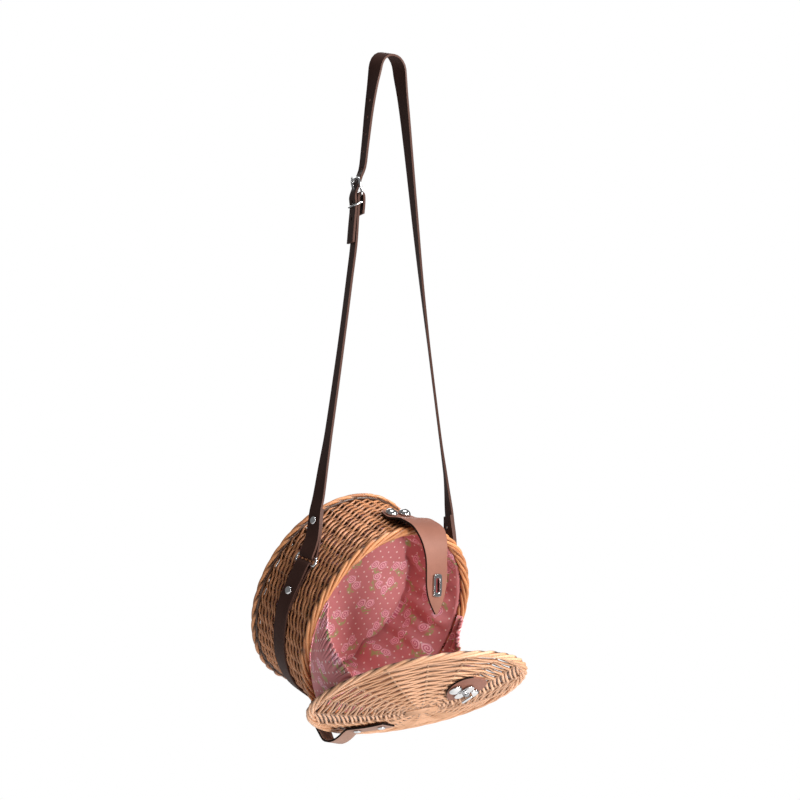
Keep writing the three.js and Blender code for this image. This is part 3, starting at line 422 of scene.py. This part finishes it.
def rose_print():
    """Pairs of line-drawn roses over green sprigs, scattered between staggered pin dots."""
    pink, rose_pink, worn = (0.57, 0.195, 0.21), (0.68, 0.265, 0.275), (0.40, 0.11, 0.13)
    petal, petal_line, petal_rim = (0.95, 0.56, 0.63), (0.52, 0.085, 0.17), (0.92, 0.66, 0.72)
    green, dot_white, shade = (0.36, 0.46, 0.17), (0.92, 0.80, 0.76), (0.14, 0.03, 0.03)
    rose_radius, rose_beside, rim_width, sprig_length = 0.0049, 0.0053, 0.0007, 0.0105
    made = Finish("rose print", 0.9, sheen_weight=0.1)
    here = made.place(2)
    spin, cells = {"rotation_type": "Z_AXIS"}, {"voronoi_dimensions": "2D"}
    slanted = made.node("VectorRotate", spin, Vector=here, Angle=0.785)
    dots = made.node("TexVoronoi", cells, Vector=slanted, Scale=122.0, Randomness=0.1) < 0.11
    centre = made.node("TexVoronoi", cells, out=2, Vector=here, Scale=34.0, Randomness=0.6)
    kind = made.node("TexVoronoi", cells, out=1, Vector=here, Scale=34.0, Randomness=0.6)
    own = made.node("SeparateColor", _0=kind)
    away = made.node("VectorMath", {"operation": "SUBTRACT"}, _0=here, _1=centre)
    away = made.node("VectorRotate", spin, Vector=away, Angle=own * 2.4 - 1.2)
    side = made.node("SeparateXYZ", _0=away)
    up = made.node("SeparateXYZ", out=1, _0=away)
    across = side.of("ABSOLUTE") - rose_beside
    along = up - side * 0.25
    far = (across * across + along * along).of("SQRT")
    turn = across.of("ARCTAN2", along)
    ruffle = made.noise(here, 420.0, 2.0)
    lobes = (turn * 5.0 + own * 9.0).of("SINE") * 0.00035
    rim = rose_radius + lobes + ruffle * 0.0014 - rim_width
    flower = far < rim
    line = ((far * 2700.0 + turn + ruffle * 3.0).of("SINE") > 0.05) * flower
    white = (far > rim - rim_width) * flower
    low = up + 0.0062 + (side * 300.0).of("SINE") * 0.0024
    sprig = (low.of("ABSOLUTE") < 0.0026) * (side.of("ABSOLUTE") < sprig_length)
    sprig = sprig * (made.noise(here, 300.0, 2.0) > 0.46) * (1 - flower)
    thread = made.noise(here, 900.0, 2.0)
    cloth = made.mix(made.noise(here, 22.0, 2.0), pink, rose_pink)
    cloth = made.mix(thread * 0.2, cloth, worn)
    cloth = made.mix(sprig * 0.8, cloth, green)
    cloth = made.mix(flower * 0.85, cloth, petal)
    cloth = made.mix(line * 0.8, cloth, petal_line)
    cloth = made.mix(white * 0.5, cloth, petal_rim)
    cloth = made.mix(dots * (1 - flower) * 0.9, cloth, dot_white)
    # Painted shade: the cloth darkens towards a deep red-brown in the troughs of the ruffled hem.
    made.into("Base Color", made.mix(made.layer("ruffle_shade") * 0.8, cloth, shade))
    made.bump(thread, 0.25, 0.0002)
    return made.material


def measured(bm, way):
    """A UV map in metres of cloth, so the print keeps its size."""
    layer = bm.loops.layers.uv.new("cloth")
    for face in bm.faces:
        spots = [way(loop.vert, face) for loop in face.loops]
        for loop, spot in zip(face.loops, spots):
            loop[layer].uv = spot


def flat_lining(v, face):
    """Where a point lies on the flat cloth: by X and Z at the back, and else by its way round."""
    middle = face.calc_center_median()
    if middle.y > seam_depth:
        return v.co.x, v.co.z
    angle = math.atan2(v.co.x, v.co.z)
    if angle < 0 and middle.x > -0.002 and middle.z < 0:
        angle += 2 * math.pi
    return angle * flat_radius, v.co.y


def thick_cloth(piece, thick):
    made = piece.modifiers.new("cloth", "SOLIDIFY")
    made.thickness, made.offset = thick, 0


printed = rose_print()
# Share of the way from the mouth to the middle of the back, radius and depth as shares.
course = [
    (0.0, 1.035, -0.01), (0.03, 1.0, 0.01), (0.1, 1.0, 0.1), (0.3, 0.99, 0.42), (0.5, 0.98, 0.8),
    (0.58, 0.975, 0.97), (0.61, 0.955, 1.0), (0.63, 0.925, 0.95), (0.66, 0.89, 0.925),
    (0.76, 0.68, 0.93), (0.88, 0.36, 0.96), (1.0, 0.0, 0.98),
]
# Angle and width in degrees, depth as a share of the radius, middle and spread along the course.
folds = [
    (62, 7, 0.07, 0.45, 0.3), (80, 5, 0.05, 0.4, 0.25), (92, 4, 0.10, 0.25, 0.25),
    (103, 4, 0.07, 0.3, 0.2), (113, 5, 0.14, 0.3, 0.28), (122, 5, 0.08, 0.35, 0.3),
    (135, 8, 0.16, 0.5, 0.3), (156, 6, 0.08, 0.4, 0.25), (180, 8, 0.10, 0.4, 0.25),
    (228, 11, 0.12, 0.45, 0.28), (275, 10, 0.10, 0.4, 0.25), (322, 12, 0.10, 0.5, 0.3),
    (10, 9, 0.10, 0.45, 0.25), (38, 8, 0.08, 0.4, 0.3),
]
mouth_edge, bag_front, bag_deep, seam_depth, flat_radius = 0.0974, -0.0385, 0.0352, 0.027, 0.09
bag_rows, bag_turns = 60, 240
lining = bmesh.new()
way_in = lining.verts.layers.float.new("share")
profile = [lining.verts.new((0, 0, 0.1 + k)) for k in range(bag_rows + 1)]
for k, v in enumerate(profile):
    v[way_in] = k / bag_rows
for pair in zip(profile, profile[1:]):
    lining.edges.new(pair)
bmesh.ops.spin(
    lining, geom=lining.verts[:] + lining.edges[:], cent=(0, 0, 0), axis=(0, 1, 0),
    angle=2 * math.pi, steps=bag_turns, use_merge=True)
for v in lining.verts:
    share = v[way_in]
    i = max(n for n, row in enumerate(course) if row[0] <= min(share, 0.999))
    t = (share - course[i][0]) / (course[i + 1][0] - course[i][0])
    reach, deep = (course[i][n] * (1 - t) + course[i + 1][n] * t for n in (1, 2))
    angle = math.atan2(v.co.x, v.co.z)
    for fold, width, depth, along, spread in folds:
        off = (math.degrees(angle) - fold + 540) % 360 - 180
        near = math.exp(-((off / width) ** 2) - ((share - along) / spread) ** 2)
        reach *= 1 - depth * near * min(1, share * 6)
    smooth_point = round_y(angle, mouth_edge * max(reach, 0.0), bag_front + (bag_deep - bag_front) * deep)
    crease = noise.noise(smooth_point * 28) * 0.0035 + noise.noise(smooth_point * 70) * 0.0012
    inwards = Vector((-math.sin(angle), -0.6 * deep, -math.cos(angle)))
    v.co = smooth_point + inwards * (abs(crease) * min(1, share * 5) * min(1, (1 - share) * 6 + 0.2))
bmesh.ops.remove_doubles(lining, verts=lining.verts, dist=0.00002)
measured(lining, flat_lining)
cloth = put("printed_lining", lining, printed, ["lining"], drum_place)
thick_cloth(cloth, 0.0009)

# Gussets: two wings of the same cloth, sewn to the mouth and to the lid and hemmed with elastic
# that gathers them, so their free edge is ruffled.
seam_radius, seam_y, start_radius, start_y = 0.0962, -0.043, 0.1005, -0.047
lid_seam_radius, lid_seam_up = 0.0973, 0.0059
seam_share, hem_share, wing_width, ruffle_high, ruffle_turns = 1 / 9, 0.78, 0.13, 0.0022, 96
# Node, name, side; on the drum and on the lid, the angles of hinge and hem; slack of the hem.
wings = [
    ("gusset_left", "left_gusset", -1, (146, 74), (38, 88), -0.05),
    ("gusset_right", "right_gusset", 1, (146, 84), (46, 104), 0.16),
]
for node, name, side, drum_angles, lid_angles, slack in wings:
    wing = bmesh.new()
    bmesh.ops.create_grid(wing, x_segments=150, y_segments=44, size=0.5)
    lengths = wing.verts.layers.float_vector.new("flat")
    ruffle_shade = wing.verts.layers.float.new("ruffle_shade")
    for v in wing.verts:
        across, up = v.co.x + 0.5, v.co.y + 0.5
        down = math.radians(drum_angles[0] + (drum_angles[1] - drum_angles[0]) * up)
        seam = drum_place @ round_y(side * down, seam_radius, seam_y)
        start = drum_place @ round_y(side * down, start_radius, start_y)
        turn = math.radians(lid_angles[0] + (lid_angles[1] - lid_angles[0]) * up)
        beside, forth = side * math.sin(turn), math.cos(turn)
        end = lid_place @ Vector((lid_seam_radius * beside, lid_seam_radius * forth, lid_seam_up))
        span = (end - start).length
        if across < seam_share:
            p = seam.lerp(start, across / seam_share)
        else:
            t = (across - seam_share) / (1 - seam_share)
            p = start.lerp(end, t)
            bow = math.sin(math.pi * t)
            p.x -= side * slack * span * bow * up * up
            p.y += 0.12 * span * bow
            gather = max(0.0, (up - hem_share) / (1 - hem_share)) ** 0.7
            wave = math.sin(t * ruffle_turns + 3 * up + 4 * noise.noise(Vector((t * 9, up * 4, side))))
            # Painted shade in the ruffles' troughs, strongest at the gathered hem.
            v[ruffle_shade] = gather * max(0.0, 0.25 - 0.9 * wave)
            ripple = ruffle_high * wave * gather
            pleat = 0.003 * math.sin(up * 13 + 2 * t) * bow * (1 - gather)
            p += Vector((0.5 * side, -0.75, 0.3)).normalized() * (ripple + pleat)
        v[lengths] = (across * span * 1.12, up * wing_width, 0)
        v.co = p
    measured(wing, lambda v, face: v[lengths][:2])
    gusset = put(name, wing, printed, [node])
    thick_cloth(gusset, 0.0008)

# Leather: straps, band, flap, patch and hinge strap are cut from smooth cowhide about two
# millimetres thick, with dark burnished edges and a fine grain, and held by rivets.
leather = 0.0022


def cowhide(name, tone, deep_tone, cut_tone):
    """Grained hide. The faces that the edge layer marks are the cut edges."""
    rough = 0.5
    made = Finish(name, rough, specular_ior_level=0.14)
    here = made.place(3)
    cloud = made.noise(here, 30.0, 3.0)
    pore = made.node("TexVoronoi", Vector=here, Scale=1500.0)
    fine = made.noise(here, 700.0, 4.0)
    hide = made.mix((cloud * 1.6 - 0.3).clamp(), tone, deep_tone)
    hide = made.mix((fine * 2 - 0.9).clamp() * 0.25, hide, [c * 0.6 for c in deep_tone])
    made.into("Base Color", made.mix(made.layer("edge"), hide, cut_tone))
    made.into("Roughness", rough - 0.06 + fine * 0.12)
    made.bump(pore * 0.6 + fine * 0.5, 0.18, 0.0002)
    return made.material


def dressed(name, node, material, hide=0.0, bevel=0.0004, levels=1, body="bag", fuller=1.0):
    """A node's own shape with its edges rounded: merged, bevelled and smoothed."""
    same_length, sharp_turn, edge_width = 0.00015, 0.9, 0.0028
    bm = bmesh.new()
    bm.from_mesh(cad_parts[node].data)
    bm.transform(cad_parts[node].matrix_world)
    bmesh.ops.remove_doubles(bm, verts=bm.verts, dist=0.00001)
    middle = sum((v.co for v in bm.verts), Vector()) / len(bm.verts)
    bmesh.ops.scale(bm, vec=(fuller, fuller, fuller), space=Matrix.Translation(-middle), verts=bm.verts)
    bmesh.ops.join_triangles(bm, faces=bm.faces, angle_face_threshold=0.6, angle_shape_threshold=1.2)
    edge = bm.faces.layers.float.new("edge")
    for face in bm.faces:
        across = sum(1 for e in face.edges if abs(e.calc_length() - hide) < same_length)
        longest = max(e.calc_length() for e in face.edges)
        if hide and across >= 2 and longest > hide + same_length and face.calc_area() < edge_width * longest:
            face[edge] = 1.0
    if bevel:
        sharp = [e for e in bm.edges if len(e.link_faces) == 2 and e.calc_face_angle(0) > sharp_turn]
        bmesh.ops.bevel(
            bm, geom=sharp, offset=bevel, offset_type="OFFSET", segments=2, profile=0.5,
            affect="EDGES", material=-1, clamp_overlap=True)
    made = put(name, bm, material, [node], body=body)
    smooth = made.modifiers.new("smooth", "SUBSURF")
    smooth.levels = smooth.render_levels = levels


dark_hide = cowhide("dark cowhide", (0.055, 0.023, 0.017), (0.036, 0.014, 0.010), (0.085, 0.040, 0.030))
brown_hide = cowhide("brown cowhide", (0.255, 0.112, 0.08), (0.19, 0.078, 0.054), (0.010, 0.006, 0.005))
hinge_hide = cowhide("hinge cowhide", (0.36, 0.215, 0.165), (0.27, 0.15, 0.11), (0.012, 0.007, 0.006))
dressed("long_strap", "shoulder_strap", dark_hide, leather)
dressed("short_strap", "buckle_strap", dark_hide, leather)
dressed("under_band", "side_band", dark_hide, leather)
dressed("flap", "closing_flap", brown_hide, leather)
dressed("patch", "lid_patch", brown_hide, leather)
dressed("hinge", "hinge_strap", hinge_hide, leather)


# Metal: bright plated rings, buckle, keeper, dome rivets, slot plate and turn lock, pressed or
# bent from wire and polished, with light handling marks. Rivets hold the leather's folds.
def plated():
    made = Finish("bright plate", 0.16, metallic=1.0)
    mark = made.noise(made.place(3), 260.0, 4.0)
    made.into("Base Color", made.mix((mark * 2 - 0.8).clamp() * 0.4, (0.64, 0.64, 0.65), (0.42, 0.42, 0.44)))
    made.into("Roughness", 0.06 + mark * 0.12)
    made.bump(mark, 0.08, 0.0002)
    return made.material


bright, rivet_fuller = plated(), 1.12
for node in ("ring_left", "ring_right", "buckle_prong", "buckle_frame", "keeper_loop"):
    dressed("bright_" + node, node, bright, bevel=0.0, levels=2)
rivets = (
    "band_rivet_left", "band_rivet_right", "strap_rivet_right", "strap_rivet_left", "flap_rivet_left",
    "flap_rivet_right", "patch_rivet_left", "patch_rivet_right", "hinge_rivet_lid_inner",
    "hinge_rivet_lid_outer", "hinge_rivet_drum_front", "hinge_rivet_drum_back",
)
for node in rivets:
    dressed("bright_" + node, node, bright, bevel=0.0, levels=2, fuller=rivet_fuller)
for node in ("slot_plate", "lock_plate"):
    dressed("bright_" + node, node, bright, bevel=0.0003)
dressed("bright_turn_knob", "turn_knob", bright, bevel=0.0006, body="knob")

# The studio: a pale round floor well below the hanging bag, a room that is white to the camera
# and lights the bag weakly, a strong soft light to the right, and weaker ones round the bag.
floor_radius, floor_up, room_light = 1.4, -1.15, 0.23
bag_middle = Vector((0, 0, -0.55))
floor_mesh = bpy.data.meshes.new("floor")
ground = bmesh.new()
bmesh.ops.create_circle(
    ground, cap_ends=True, segments=64, radius=floor_radius, matrix=Matrix.Translation((0, 0, floor_up)))
ground.to_mesh(floor_mesh)
ground.free()
floor = bpy.data.objects.new("floor", floor_mesh)
bpy.context.collection.objects.link(floor)
pale = Finish("pale floor", 0.9)
patches = pale.noise(pale.place(3), 3.0, 3.0)
pale.into("Base Color", pale.mix(patches, (0.90, 0.90, 0.90), (0.94, 0.94, 0.94)))
floor_mesh.materials.append(pale.material)
for name, place, size, power, tint in (
    ("key", (1.6, -2.2, 0.6), 0.7, 92, (1.0, 0.98, 0.95)),
    ("top", (0.2, -0.4, 1.5), 1.0, 30, (1.0, 1.0, 1.0)),
    ("fill", (-0.5, -2.4, 0.3), 0.5, 21, (1.0, 0.99, 0.97)),
    ("low", (0.0, -1.9, -1.05), 0.8, 24, (1.0, 0.98, 0.96)),
    ("back", (1.4, 1.8, 0.6), 1.0, 8, (1.0, 1.0, 1.0)),
):
    lamp = bpy.data.objects.new(name, bpy.data.lights.new(name, "AREA"))
    lamp.data.shape, lamp.data.size, lamp.data.energy, lamp.data.color = "DISK", size, power, tint
    lamp.location = place
    lamp.rotation_mode = "QUATERNION"
    lamp.rotation_quaternion = (bag_middle - Vector(place)).to_track_quat("-Z", "Y")
    bpy.context.collection.objects.link(lamp)
world = bpy.data.worlds.new("studio")
world.use_nodes = True
sky = world.node_tree
seen = sky.nodes.new("ShaderNodeLightPath")
room = sky.nodes.new("ShaderNodeMix")
room.inputs["A"].default_value, room.inputs["B"].default_value = room_light, 1.0
sky.links.new(seen.outputs["Is Camera Ray"], room.inputs["Factor"])
sky.nodes["Background"].inputs["Color"].default_value = (1, 1, 1, 1)
sky.links.new(room.outputs["Result"], sky.nodes["Background"].inputs["Strength"])
bpy.context.scene.world = world
